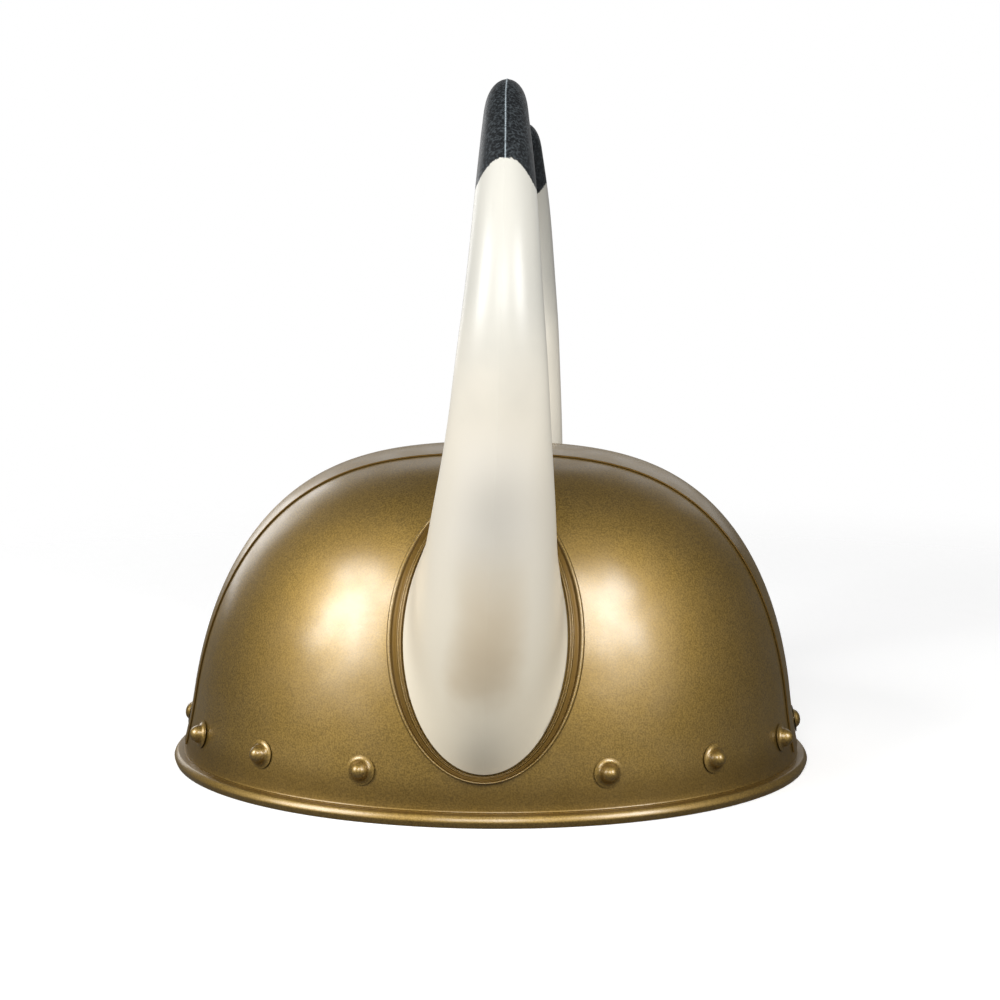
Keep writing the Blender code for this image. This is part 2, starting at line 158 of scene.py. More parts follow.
# height of the dipped paint's edge on each horn: outer line, sides, inner line
PAINT_EDGE = {"right": (0.2362, 0.2255, 0.2190), "left": (0.2450, 0.2385, 0.2320)}
BARE = -50.0                    # millimetres past the paint's edge, for the hollow

# Rivets: length ahead of the fittings and the same behind them, and height
RIVET_SPOTS = (
    (0.0451, 0.0183),
    (0.0850, 0.0183),
    (0.1138, 0.0172),
)
RIVET_RADIUS = 0.0055
HEAD_SHARE = 0.68               # the dome's share of that radius, inside its foot
FOOT_EDGE = 0.00012             # thickness of the foot's thin edge
DOME_DEGREES = (80, 70, 60, 50, 40, 30, 20)     # loops down the dome
FOOT_DEGREES = (15, 30, 45, 60, 75, 90)         # and out along its foot
RIVET_RISE = 0.0047
END_RIVET_HEIGHT = 0.0160
END_RIVET_RISE = 0.0026
SHANK_RADIUS = 0.0020
SHANK_CLEARANCE = 0.0003
SHANK_END = 0.0010
RIVET_LEAN = 0.02               # radians that a driven rivet may stand off straight
RIVET_SEED = 5
HOLE_REACH = 0.0045             # half the length of the plug that cuts a rivet's hole
STEP_OUT = 0.001                # a step off the wall, to find its direction
OVAL_PLUG = (0.45, 1.2)         # ends of the plug that cuts a horn's opening, in half widths

# Fineness of the meshes
BOWL_SEGMENTS = 256
BOWL_ROWS = 84
BAND_STATIONS = 200
BAND_ACROSS = 20
OVAL_SEGMENTS = 128
HORN_SEGMENTS = 44              # columns on each half of a horn, between its two seams
HORN_ROWS = 150
HOLLOW_ROWS = 48
HORN_TIP_ROWS = 14
HOLLOW_TIP_ROWS = 6
TIP_BLEND_ROWS = 10             # rows before the tip that are smoothed into it
TIP_BLEND_PASSES = 12
RIVET_SEGMENTS = 32
HOLE_SEGMENTS = 20
LIP_ROWS = 9
COLLAR_ROWS = 61
WALL_SAMPLES = 6000             # points along the wall, from which its even rows are read
BAND_SAMPLES = 4000
MERGE_DISTANCE = 1e-7
SHARP_ANGLE = math.radians(38)

# Sprayed paint: flake, orange peel, waves and slow drifts of tone, with the size and detail of each
SPRAY_LAYERS = (
    ("Flake", 0.0006, 3.0),
    ("Peel", 0.0024, 2.0),
    ("Wave", 0.011, 0.0),
    ("Drift", 0.035, 3.0),
)
HORN_LAYERS = {"Flake Size": 0.0009, "Peel Size": 0.009, "Drift Size": 0.030}

# Gold spray
GOLD_DEEP = (0.232, 0.145, 0.029)
GOLD_BRIGHT = (0.402, 0.260, 0.060)
GOLD_CLOUDED = (0.235, 0.155, 0.052)
# Painted shade: the gold goes darker and loses its binder's gloss in the collars' channels, along the
# band's edges and down the wall's foot and lip
GOLD_PAINTED_SHADE = (0.120, 0.066, 0.014)
GOLD_ROUGHNESS = 0.51
INSIDE_DULL = 0.14              # the inside is this much rougher
BINDER_ROUGHNESS = 0.27
BINDER_IOR = 1.75
CLOUD_SHARE = 0.20
SHADE_SHARE = 0.85               # how far painted shade takes the gold towards its darker colour and off its binder
FOOT_SHADE = 0.50                # painted shade on the wall's foot
FOOT_SHADE_FADE = (0.0210, 0.0100)    # it gets there between these heights, going down
LIP_SHADE = 0.20                 # the share of that painted shade on the lip
LIP_SHADE_FADE = (0.0040, 0.0048)     # heights between the lip's share and the whole

# Ivory plastic with a dipped tip. A range's first height is where the colour isn't there yet.
IVORY = (0.865, 0.805, 0.680)
# painted bounce light: lighter and warmer towards the root, as light coming up from the floor
IVORY_ROOT_LIT = (0.920, 0.840, 0.670)
# painted shade: greyer and darker up the horn's top
IVORY_TOP_SHADE = (0.570, 0.556, 0.500)
# painted light: lighter on the outer face round the middle of the horn
IVORY_LIT_FACE = (0.970, 0.915, 0.800)
# painted shade: tan on the outer face low on the horn, where it turns to face down
IVORY_UNDER_SHADE = (0.690, 0.555, 0.370)
IVORY_ROUGHNESS = 0.32
ROOT_LIT_RANGE = (0.030, 0.125)     # here the root's painted bounce light goes over into the plain colour
TOP_SHADE_RANGE = (0.138, 0.198)
LIT_FACE_RANGES = ((0.095, 0.118), (0.158, 0.135))     # where that painted light lies on the outer face, from below and from above
UNDER_SHADE_RANGES = ((0.122, 0.070), (0.034, 0.066))     # where that painted shade lies, from above and from below
UNDER_SHADE_SHARE = 0.75
TIP_BLACK = (0.004, 0.005, 0.006)
TIP_GREY = (0.042, 0.050, 0.055)
SEAM_WORN = (0.45, 0.52, 0.56)  # where the seam has lost its black paint

# Studio: name, turn round the helmet, height in degrees, distance, width, height and watts of each light
SOFTBOXES = (
    ("left_softbox", -56.0, 28.5, 1.2, 0.56, 0.56, 11.0),
    ("right_softbox", 46.0, 29.0, 1.2, 0.46, 0.52, 8.8),
    ("left_low_softbox", -52.0, 13.0, 1.2, 0.60, 0.40, 1.3),
    ("right_low_softbox", 48.0, 13.0, 1.2, 0.56, 0.40, 1.2),
    ("front_softbox", 0.0, 29.0, 1.2, 0.48, 0.48, 6.0),
    ("left_side_softbox", -142.0, 14.0, 1.3, 0.50, 0.60, 2.1),
    ("back_softbox", 180.0, 23.0, 1.5, 2.0, 0.8, 3.0),
)
AIM = Vector((0.0, 0.0, 0.10))  # the lights face this point
ROOM_LIGHT = 0.09               # what the white room gives the helmet; the camera sees it as plain white
FLOOR_COLOUR = 0.80
FLOOR_GLOW = 0.40
FLOOR_BOUNCE = 0.13             # the floor's colour as the helmet sees it
FLOOR_FADE = (0.25, 0.9)        # distances over which it fades into the room
FLOOR_RADIUS = 3.0
FLOOR_DROP = 0.0002
CAMERA_PLACE = (0.0346, -0.7993, 0.2059)
CAMERA_TURN = 2.22
CAMERA_PITCH = 90.0 - 7.14
CAMERA_ROLL = 0.23
CAMERA_LENS = 71.03

BOWL_SIZES = (
    ("Half Length", BOWL_HALF_LENGTH),
    ("Half Width", BOWL_HALF_WIDTH),
    ("Height", BOWL_HEIGHT),
    ("Height Power", HEIGHT_POWER),
    ("Section Power", SECTION_POWER),
    ("Crown Lean", CROWN_LEAN),
    ("End Flare", END_FLARE),
    ("End Flare Height", END_FLARE_HEIGHT),
    ("Side Flare", SIDE_FLARE),
    ("Side Flare Height", SIDE_FLARE_HEIGHT),
)
# Half of the bowl's full size, its flare and the flare's height: along the helmet and across it
BOWL_WAYS = (
    (BOWL_HALF_LENGTH, END_FLARE, END_FLARE_HEIGHT),
    (BOWL_HALF_WIDTH, SIDE_FLARE, SIDE_FLARE_HEIGHT),
)


# Nodes --------------------------------------------------------------------------------------------

class Wire:
    """A number in a tree of nodes, so that a formula on it can be written as a formula."""

    def __init__(self, tree, socket):
        self.tree = tree
        self.socket = socket

    def work(self, operation, *values):
        node = self.tree.nodes.new("ShaderNodeMath")
        node.operation = operation
        for value, socket in zip(values, node.inputs):
            join(self.tree, value, socket)
        return Wire(self.tree, node.outputs[0])

    def __add__(self, other):
        return self.work("ADD", self, other)

    def __radd__(self, other):
        return self.work("ADD", other, self)

    def __sub__(self, other):
        return self.work("SUBTRACT", self, other)

    def __rsub__(self, other):
        return self.work("SUBTRACT", other, self)

    def __mul__(self, other):
        return self.work("MULTIPLY", self, other)

    def __truediv__(self, other):
        return self.work("DIVIDE", self, other)

    def __rtruediv__(self, other):
        return self.work("DIVIDE", other, self)

    def __pow__(self, other):
        return self.work("POWER", self, other)

    def sine(self):
        return self.work("SINE", self)

    def cosine(self):
        return self.work("COSINE", self)

    def at_least(self, floor):
        return self.work("MAXIMUM", self, floor)


def join(tree, value, socket):
    """Give a socket a wire, another node's output, or a plain value."""
    if isinstance(value, Wire):
        tree.links.new(value.socket, socket)
    elif isinstance(value, bpy.types.NodeSocket):
        tree.links.new(value, socket)
    else:
        socket.default_value = value


def add_node(tree, kind, inputs=(), **settings):
    node = tree.nodes.new(kind)
    for name, value in settings.items():
        setattr(node, name, value)
    for label, value in dict(inputs).items():
        join(tree, value, node.inputs[label])
    return node


def new_tree(name, kind, inputs, outputs):
    """A group with named inputs (label, type, value) and outputs (label, type)."""
    tree = bpy.data.node_groups.new(name, kind)
    for label, socket_type, value in inputs:
        socket = tree.interface.new_socket(name=label, in_out="INPUT", socket_type=socket_type)
        if value is not None:
            socket.default_value = value
    for label, socket_type in outputs:
        tree.interface.new_socket(name=label, in_out="OUTPUT", socket_type=socket_type)
    return tree, tree.nodes.new("NodeGroupInput"), tree.nodes.new("NodeGroupOutput")


def spread(tree, value, low, high, to_low=0.0, to_high=1.0):
    """A value carried smoothly from one range to another and held at its ends."""
    node = add_node(tree, "ShaderNodeMapRange", {"Value": value, "From Min": low, "From Max": high,
                                                 "To Min": to_low, "To Max": to_high},
                    interpolation_type="SMOOTHSTEP")
    return Wire(tree, node.outputs["Result"])


def mix_colours(tree, share, first, second):
    """A colour that goes from the first to the second as the share goes from nought to one."""
    node = add_node(tree, "ShaderNodeMix", data_type="RGBA")
    join(tree, share, node.inputs[0])
    for colour, socket in ((first, node.inputs[6]), (second, node.inputs[7])):
        join(tree, (*colour, 1.0) if isinstance(colour, tuple) else colour, socket)
    return node.outputs[2]


# The bowl's wall ----------------------------------------------------------------------------------

def size_sockets():
    return [(label, "NodeSocketFloat", value) for label, value in BOWL_SIZES]


def bowl_wall_group():
    """The wall's place and outward direction at an angle round the bowl and an angle up it."""
    inputs = [("Turn", "NodeSocketFloat", 0.0), ("Rise", "NodeSocketFloat", 0.0)] + size_sockets()
    outputs = [("Place", "NodeSocketVector"), ("Normal", "NodeSocketVector")]
    tree, given, result = new_tree("Bowl Wall", "GeometryNodeTree", inputs, outputs)
    turn, rise = (Wire(tree, given.outputs[label]) for label in ("Turn", "Rise"))
    sizes = [Wire(tree, given.outputs[label]) for label, _ in BOWL_SIZES]
    half_length, half_width, height, height_power, section_power, lean = sizes[:6]
    level = rise.sine().at_least(0.0) ** (2.0 / height_power)
    share = (rise.cosine() ** (2.0 / section_power)).at_least(1e-6)
    up = level * height
    ways = []
    for flare, start in (sizes[6:8], sizes[8:10]):
        flare_left = (1.0 - up / start).at_least(0.0)
        ways.append((share + flare * flare_left * flare_left, flare * flare_left * 2.0 / start))
    (reach_along, foot_along), (reach_side, foot_side) = ways
    along = turn.cosine()
    side = turn.sine()
    place = add_node(tree, "ShaderNodeCombineXYZ", {"X": half_length * reach_along * along + lean * level,
                                                    "Y": half_width * reach_side * side, "Z": up})
    # slopes of the wall, times a factor that keeps them finite at the crown
    steepness = share ** (section_power - 1.0)
    dome = height_power * level ** (height_power - 1.0) / (section_power * height)
    part_along = share / reach_along
    part_side = share / reach_side
    slope_x = steepness * part_along * along / half_length
    slope_y = steepness * part_side * side / half_width
    slope_z = (along * along * part_along * (dome + steepness * foot_along)
               + side * side * part_side * (dome + steepness * foot_side) - slope_x * lean / height)
    slope = add_node(tree, "ShaderNodeCombineXYZ", {"X": slope_x, "Y": slope_y, "Z": slope_z})
    normal = add_node(tree, "ShaderNodeVectorMath", {"Vector": slope.outputs[0]}, operation="NORMALIZE")
    tree.links.new(place.outputs[0], result.inputs["Place"])
    tree.links.new(normal.outputs[0], result.inputs["Normal"])
    return tree


def named(tree, name, data_type="FLOAT"):
    node = add_node(tree, "GeometryNodeInputNamedAttribute", {"Name": name}, data_type=data_type)
    return node.outputs["Attribute"]


def wall_node(tree, wall, given):
    """The wall group inside another tree, read at each point's own turn and rise."""
    node = add_node(tree, "GeometryNodeGroup", node_tree=wall)
    for label, _ in BOWL_SIZES:
        tree.links.new(given.outputs[label], node.inputs[label])
    join(tree, named(tree, "turn"), node.inputs["Turn"])
    join(tree, named(tree, "rise"), node.inputs["Rise"])
    return node


def bowl_skin_tree(wall):
    """Lays a table of angles on the bowl, each point its own distance out from the wall."""
    inputs = [("Geometry", "NodeSocketGeometry", None)] + size_sockets()
    inputs += [(label, "NodeSocketMaterial", None) for label in ("Outside Finish", "Inside Finish")]
    tree, given, result = new_tree("Bowl Skin", "GeometryNodeTree", inputs,
                                   [("Geometry", "NodeSocketGeometry")])
    seat = wall_node(tree, wall, given)
    parts = add_node(tree, "ShaderNodeSeparateXYZ", {"Vector": seat.outputs["Normal"]})
    upright = Wire(tree, parts.outputs["Z"]) * (1.0 - Wire(tree, named(tree, "level_out")))
    way = add_node(tree, "ShaderNodeCombineXYZ", {"X": parts.outputs["X"], "Y": parts.outputs["Y"],
                                                  "Z": upright})
    unit = add_node(tree, "ShaderNodeVectorMath", {"Vector": way.outputs[0]}, operation="NORMALIZE")
    step = add_node(tree, "ShaderNodeVectorMath", {"Vector": unit.outputs[0], "Scale": named(tree, "out")},
                    operation="SCALE")
    place = add_node(tree, "ShaderNodeVectorMath", operation="ADD")
    tree.links.new(seat.outputs["Place"], place.inputs[0])
    tree.links.new(step.outputs[0], place.inputs[1])
    laid = add_node(tree, "GeometryNodeSetPosition", {"Geometry": given.outputs["Geometry"],
                                                      "Selection": named(tree, "seated", "BOOLEAN"),
                                                      "Position": place.outputs[0]})
    whole = add_node(tree, "GeometryNodeRealizeInstances", {"Geometry": laid.outputs["Geometry"]})
    outside = add_node(tree, "GeometryNodeSetMaterial", {"Geometry": whole.outputs["Geometry"],
                                                         "Material": given.outputs["Outside Finish"]})
    inside = add_node(tree, "GeometryNodeSetMaterial", {"Geometry": outside.outputs["Geometry"],
                                                        "Selection": named(tree, "inside", "BOOLEAN"),
                                                        "Material": given.outputs["Inside Finish"]})
    tree.links.new(inside.outputs["Geometry"], result.inputs["Geometry"])
    return tree


def rim_rivets_tree(wall):
    """Stands a rivet on each marked point of the bowl, along the wall's own direction."""
    inputs = [("Geometry", "NodeSocketGeometry", None)] + size_sockets()
    inputs += [("Round Rivet", "NodeSocketObject", None), ("Flat Rivet", "NodeSocketObject", None),
               ("Finish", "NodeSocketMaterial", None), ("Seed", "NodeSocketInt", RIVET_SEED)]
    tree, given, result = new_tree("Rim Rivets", "GeometryNodeTree", inputs,
                                   [("Geometry", "NodeSocketGeometry")])
    seat = wall_node(tree, wall, given)
    spots = add_node(tree, "GeometryNodeMeshToPoints", {"Mesh": given.outputs["Geometry"],
                                                        "Position": seat.outputs["Place"]})
    # a driven rivet never stands quite straight or at quite the same turn
    chance = add_node(tree, "FunctionNodeRandomValue", {"Seed": given.outputs["Seed"]},
                      data_type="FLOAT_VECTOR")
    chance.inputs[0].default_value = (-RIVET_LEAN, -RIVET_LEAN, 0.0)
    chance.inputs[1].default_value = (RIVET_LEAN, RIVET_LEAN, math.pi)
    aligned = add_node(tree, "FunctionNodeAlignRotationToVector", {"Vector": seat.outputs["Normal"]},
                       axis="Z")
    tilt = add_node(tree, "FunctionNodeEulerToRotation", {"Euler": chance.outputs["Value"]})
    turned = add_node(tree, "FunctionNodeRotateRotation", {"Rotation": aligned.outputs[0],
                                                           "Rotate By": tilt.outputs[0]},
                      rotation_space="LOCAL")
    both = add_node(tree, "GeometryNodeJoinGeometry")
    flat = named(tree, "flat", "BOOLEAN")
    others = add_node(tree, "FunctionNodeBooleanMath", operation="NOT")
    tree.links.new(flat, others.inputs[0])
    for label, choice in (("Flat Rivet", flat), ("Round Rivet", others.outputs[0])):
        shape = add_node(tree, "GeometryNodeObjectInfo", {"Object": given.outputs[label]})
        placed = add_node(tree, "GeometryNodeInstanceOnPoints",
                          {"Points": spots.outputs[0], "Selection": choice,
                           "Instance": shape.outputs["Geometry"], "Rotation": turned.outputs[0]})
        tree.links.new(placed.outputs[0], both.inputs[0])
    whole = add_node(tree, "GeometryNodeRealizeInstances", {"Geometry": both.outputs[0]})
    finish = add_node(tree, "GeometryNodeSetMaterial", {"Geometry": whole.outputs["Geometry"],
                                                        "Material": given.outputs["Finish"]})
    tree.links.new(finish.outputs["Geometry"], result.inputs["Geometry"])
    return tree


def run_tree(tree, guide, settings):
    """Run a tree on a guide object, its inputs set by name."""
    modifier = guide.modifiers.new("build", "NODES")
    modifier.node_group = tree
    for item in tree.interface.items_tree:
        if item.item_type == "SOCKET" and item.in_out == "INPUT" and item.name in settings:
            modifier[item.identifier] = settings[item.name]
    return settled(guide)


def settled(piece):
    """The piece with its modifiers worked out, as a plain object of the same name."""
    graph = bpy.context.evaluated_depsgraph_get()
    plain = bpy.data.meshes.new_from_object(piece.evaluated_get(graph))
    name = piece.name
    bpy.data.objects.remove(piece, do_unlink=True)
    return add_object(name, plain)


# Tables of angles ---------------------------------------------------------------------------------

TABLE_COLUMNS = ("turn", "rise", "out", "level_out")


def even_turns(count):
    return np.linspace(0.0, 2.0 * math.pi, count, endpoint=False)


def half_sizes(height):
    """Half the wall's length and half its width at a height."""
    level = np.clip(np.asarray(height) / BOWL_HEIGHT, 0.0, 1.0)
    dome = np.maximum(1.0 - level ** HEIGHT_POWER, 1e-12) ** (1.0 / SECTION_POWER)
    sizes = []
    for full, flare, start in BOWL_WAYS:
        sizes.append(full * (dome + flare * np.clip(1.0 - np.asarray(height) / start, 0.0, 1.0) ** 2))
    return sizes


def rise_at(height):
    """The angle up the wall at a height."""
    return np.arcsin(np.clip(np.asarray(height) / BOWL_HEIGHT, 0.0, 1.0) ** (HEIGHT_POWER / 2.0))


def height_at(rise):
    return BOWL_HEIGHT * np.sin(rise) ** (2.0 / HEIGHT_POWER)


def on_side(x, z, side):
    """Turn and rise of the point of the wall at a length and a height, on the -Y or the +Y side."""
    half_length, _ = half_sizes(z)
    along = (x - CROWN_LEAN * z / BOWL_HEIGHT) / half_length
    return np.arctan2(side * np.sqrt(np.maximum(1.0 - along ** 2, 0.0)), along), rise_at(z)


def even_rises(lowest, count):
    """Angles up the wall, evenly spaced along it, from a height to just under the crown."""
    rises = np.linspace(float(rise_at(lowest)), math.pi / 2.0, WALL_SAMPLES)
    heights = height_at(rises)
    steps = np.hypot(np.diff(half_sizes(heights)[0]), np.diff(heights))
    run = np.concatenate(([0.0], np.cumsum(steps)))
    return np.interp(np.linspace(0.0, run[-1], count + 1), run, rises)[:-1]


def row(turn, rise, out, level_out=0.0, inside=0.0):
    """One loop of the table: turn, rise, distance out, whether that goes level, and inside or not."""
    count = np.size(turn)
    columns = [np.broadcast_to(value, (count,)) for value in (turn, rise, out, level_out, inside)]
    return np.stack(columns, axis=1)


def loft_faces(sizes, closed=False):
    """Faces between loops that follow each other; a loop of one point closes the skin."""
    starts = np.concatenate(([0], np.cumsum(sizes)))[:-1]
    pairs = list(zip(range(len(sizes)), range(1, len(sizes))))
    if closed:
        pairs.append((len(sizes) - 1, 0))
    faces = []
    for first, second in pairs:
        count = max(sizes[first], sizes[second])
        for index in range(count):
            after = (index + 1) % count
            a, b = starts[first] + index, starts[first] + after
            c, d = starts[second] + after, starts[second] + index
            if sizes[first] == 1:
                faces.append((starts[first], c, d))
            elif sizes[second] == 1:
                faces.append((a, b, starts[second]))
            else:
                faces.append((a, b, c, d))
    return faces


def add_object(name, mesh):
    result = bpy.data.objects.new(name, mesh)
    bpy.context.scene.collection.objects.link(result)
    return result


def set_attribute(mesh, name, values, data_type="FLOAT"):
    layer = mesh.attributes.new(name, data_type, "POINT")
    layer.data.foreach_set("value", values)


def table_object(name, table, faces, places=None, seated=None):
    """A mesh that carries the table's columns; points that aren't seated keep the places given."""
    mesh = bpy.data.meshes.new(name)
    points = np.zeros((len(table), 3)) if places is None else places
    mesh.from_pydata(points.tolist(), [], faces)
    for column, label in enumerate(TABLE_COLUMNS):
        set_attribute(mesh, label, table[:, column].astype(np.float32))
    set_attribute(mesh, "inside", table[:, 4] > 0.5, "BOOLEAN")
    set_attribute(mesh, "seated", np.ones(len(table), bool) if seated is None else seated, "BOOLEAN")
    return add_object(name, mesh)


def finish_mesh(piece):
    """Merge doubles, point the faces outwards, smooth them, and drop the building columns."""
    mesh = piece.data
    bm = bmesh.new()
    bm.from_mesh(mesh)
    bmesh.ops.remove_doubles(bm, verts=bm.verts[:], dist=MERGE_DISTANCE)
    bmesh.ops.recalc_face_normals(bm, faces=bm.faces[:])
    bm.to_mesh(mesh)
    bm.free()
    for label in TABLE_COLUMNS + ("inside", "seated"):
        layer = mesh.attributes.get(label)
        if layer is not None:
            mesh.attributes.remove(layer)
    mesh.shade_smooth()
    mesh.set_sharp_from_angle(angle=SHARP_ANGLE)
    return piece


def cut(target, cutters):
    """Cut guides out of a piece and remove them."""
    guide_mesh = bpy.data.meshes.new("guides")
    joined = bmesh.new()
    for cutter in cutters:
        joined.from_mesh(cutter.data)
        bpy.data.objects.remove(cutter, do_unlink=True)
    bmesh.ops.recalc_face_normals(joined, faces=joined.faces[:])
    joined.to_mesh(guide_mesh)
    joined.free()
    guide = add_object("guides", guide_mesh)
    modifier = target.modifiers.new("openings", "BOOLEAN")
    modifier.operation = "DIFFERENCE"
    modifier.solver = "EXACT"
    modifier.object = guide
    result = settled(target)
    bpy.data.objects.remove(guide, do_unlink=True)
    return result


# Pieces on the bowl -------------------------------------------------------------------------------

def rim_profile():
    """Down the wall's foot and round the lip to the flat underside: (out, height) pairs."""
    face = [math.radians(degrees) for degrees in np.linspace(LIP_TURN, 0.0, LIP_ROWS)]
    leaning = [(LIP_OUT - LIP_FACE * (1.0 - math.cos(turn)), LIP_NOSE + LIP_FACE * math.sin(turn))
               for turn in face]
    brow, top = leaning[0]
    foot = [(0.0, LIP_HEIGHT + LIP_TOP_DROP), (LIP_TOP_DROP, LIP_HEIGHT), (brow - LIP_BROW, LIP_HEIGHT),
            (brow - LIP_TOP_DROP, (top + LIP_HEIGHT) / 2.0)]
    under = [(LIP_OUT - LIP_UNDER * share ** LIP_UNDER_POWER, LIP_NOSE * (1.0 - share))
             for share in LIP_UNDER_ROWS]
    return list(RIM_LINE) + foot + leaning + under + [(LIP_OUT - LIP_UNDER * LIP_BASE, 0.0)]


def helmet_skin():
    """The shell's table: crown, outer wall, rim, inner wall and crown again."""
    turns = even_turns(BOWL_SEGMENTS)
    rises = even_rises(WALL_FOOT, BOWL_ROWS)
    loops = [row(0.0, math.pi / 2.0, 0.0)]
    loops += [row(turns, rise, 0.0) for rise in rises[::-1]]
    loops += [row(turns, float(rise_at(height)), out, 1.0) for out, height in rim_profile()]
    loops += [row(turns, float(rise_at(height)), -WALL, 1.0, 1.0) for height in INNER_FOOT_ROWS]
    loops += [row(turns, rise, -WALL, 0.0, 1.0) for rise in rises]
    loops.append(row(0.0, math.pi / 2.0, -WALL, 0.0, 1.0))
    faces = loft_faces([len(loop) for loop in loops])
    return table_object("helmet_shell_skin", np.concatenate(loops), faces)


def oval(half_length, half_height, turns, side):
    """Turn and rise on the wall of an oval round a horn's root."""
    x = FITTING_SHIFT + half_length * np.sin(turns)
    z = ROOT_HEIGHT - half_height * np.cos(turns)
    return on_side(x, z, side)


def collar_table(name, side):
    """The collar's table, from its foot on the bowl over its profile to the horn."""
    turns = even_turns(OVAL_SEGMENTS)
    inner_length = ROOT_HALF_LENGTH + COLLAR_CLEARANCE
    inner_height = ROOT_HALF_HEIGHT + COLLAR_CLEARANCE
    shares, heights, shade_mark = np.array(COLLAR_PROFILE).T
    fine = np.linspace(0.0, 1.0, COLLAR_ROWS)
    outline = [(0.0, SEAT_GAP)] + list(zip(fine, smooth_line(shares, heights, fine))) + [(1.0, SEAT_GAP)]
    loops = []
    for share, height in outline:
        half_length = COLLAR_HALF_LENGTH + (inner_length - COLLAR_HALF_LENGTH) * share
        half_height = COLLAR_HALF_HEIGHT + (inner_height - COLLAR_HALF_HEIGHT) * share
        turn, rise = oval(half_length, half_height, turns, side)
        loops.append(row(turn, rise, height))
    faces = loft_faces([len(loop) for loop in loops], closed=True)
    piece = table_object(name, np.concatenate(loops), faces)
    # painted shade along the collar: darker at its outer edge and in its channels, lighter on its crests
    shade_marks = np.interp([share for share, _ in outline], shares, shade_mark)
    set_attribute(piece.data, "thin_paint", np.repeat(shade_marks, OVAL_SEGMENTS).astype(np.float32))
    return piece


def band_edge():
    """Across the band, from one long edge to the other: distance from its middle, and rise over it."""
    half = BAND_WIDTH / 2.0
    arc = [math.radians(degrees) for degrees in BAND_EDGE_TURNS]
    side = [(half - BAND_EDGE + BAND_EDGE * math.cos(turn), BAND_THICKNESS - BAND_EDGE
             + BAND_EDGE * math.sin(turn)) for turn in arc]
    flat = [half - 2.0 * BAND_EDGE] + list(np.linspace(half - BAND_EDGE, 0.0, BAND_ACROSS // 2 + 1)[1:])
    top = [(half, 0.0)] + side + [(place, BAND_THICKNESS) for place in flat]
    over = [(-place, height) for place, height in top] + top[-2::-1]
    under = [(place, 0.0) for place in np.linspace(half, -half, BAND_ACROSS + 1)[1:-1]]
    return over + under


def band_slice(y):
    """Turn and rise from front to back at one distance from the middle, evenly spaced."""
    top = BOWL_HEIGHT * (1.0 - (abs(y) / BOWL_HALF_WIDTH) ** SECTION_POWER) ** (1.0 / HEIGHT_POWER)
    places = np.linspace(1.0, -1.0, BAND_SAMPLES)
    heights = top - (top - BAND_FOOT) * places ** 2
    half_length, half_width = half_sizes(heights)
    side = np.clip(y / half_width, -1.0, 1.0)
    along = np.copysign(np.sqrt(1.0 - side ** 2), places)
    run = np.concatenate(([0.0], np.cumsum(np.hypot(np.diff(along * half_length), np.diff(heights)))))
    wanted = np.linspace(0.0, run[-1], BAND_STATIONS)
    turns = np.arctan2(side, along) if y != 0.0 else np.where(places > 0.0, 0.0, math.pi)
    return np.interp(wanted, run, turns), rise_at(np.interp(wanted, run, heights))


def band_table():
    """The band's table, its slices from the front over the crown to the back."""
    outline = band_edge()
    turns, rises = np.array([band_slice(y) for y, _ in outline]).transpose(1, 2, 0)
    out = np.array([BAND_GAP + height for _, height in outline])
    loops = [row(turn, rise, out) for turn, rise in zip(turns, rises)]
    faces = loft_faces([len(loop) for loop in loops])
    count = len(outline)
    faces.append(tuple(range(count)))
    faces.append(tuple(count * (BAND_STATIONS - 1) + index for index in range(count)))
    piece = table_object("crown_band_skin", np.concatenate(loops), faces)
    # painted shadow of the band's step, laid along its two long edges
    edge_shade = [1.0 if abs(y) > BAND_WIDTH / 2.0 - 1.5 * BAND_EDGE else 0.0 for y, _ in outline]
    set_attribute(piece.data, "thin_paint", np.tile(edge_shade, BAND_STATIONS).astype(np.float32))
    return piece


def smooth_line(places, values, wanted):
    """Natural cubic curve through values at given places, read at the wanted places."""
    places = np.asarray(places, float)
    values = np.asarray(values, float)
    steps = np.diff(places)
    size = len(places)
    system = np.zeros((size, size))
    right = np.zeros_like(values)
    system[0, 0] = system[-1, -1] = 1.0
    for index in range(1, size - 1):
        before, after = steps[index - 1], steps[index]
        system[index, index - 1] = before
        system[index, index] = 2.0 * (before + after)
        system[index, index + 1] = after
        rise = (values[index + 1] - values[index]) / after - (values[index] - values[index - 1]) / before
        right[index] = 6.0 * rise
    bend = np.linalg.solve(system, right.reshape(size, -1)).reshape(values.shape)
    index = np.clip(np.searchsorted(places, wanted, side="right") - 1, 0, size - 2)
    shape = (-1,) + (1,) * (values.ndim - 1)
    width = steps[index].reshape(shape)
    left = (places[index + 1] - wanted).reshape(shape)
    gone = (wanted - places[index]).reshape(shape)
    result = (bend[index] * left ** 3 + bend[index + 1] * gone ** 3) / (6.0 * width)
    result += (values[index] / width - bend[index] * width / 6.0) * left
    result += (values[index + 1] / width - bend[index + 1] * width / 6.0) * gone
    return result


# Horns --------------------------------------------------------------------------------------------

def horn_turns(half_length):
    """Angles round a horn: close together at its two seams, evenly spaced between them."""
    near = np.array(SEAM_OFFSETS) / half_length
    between = np.linspace(near[-1], math.pi - near[-1], HORN_SEGMENTS + 2)[1:-1]
    front = np.concatenate((near, between, math.pi - near[::-1]))
    back = 2.0 * math.pi - front[1:-1][::-1]
    return np.concatenate((front, back))


def seam_height(half_length):
    """How far each column stands out for the mould seam."""
    distance = np.abs(np.sin(horn_turns(half_length))) * half_length
    return SEAM_RISE * np.exp(-(distance / SEAM_WIDTH) ** 2)


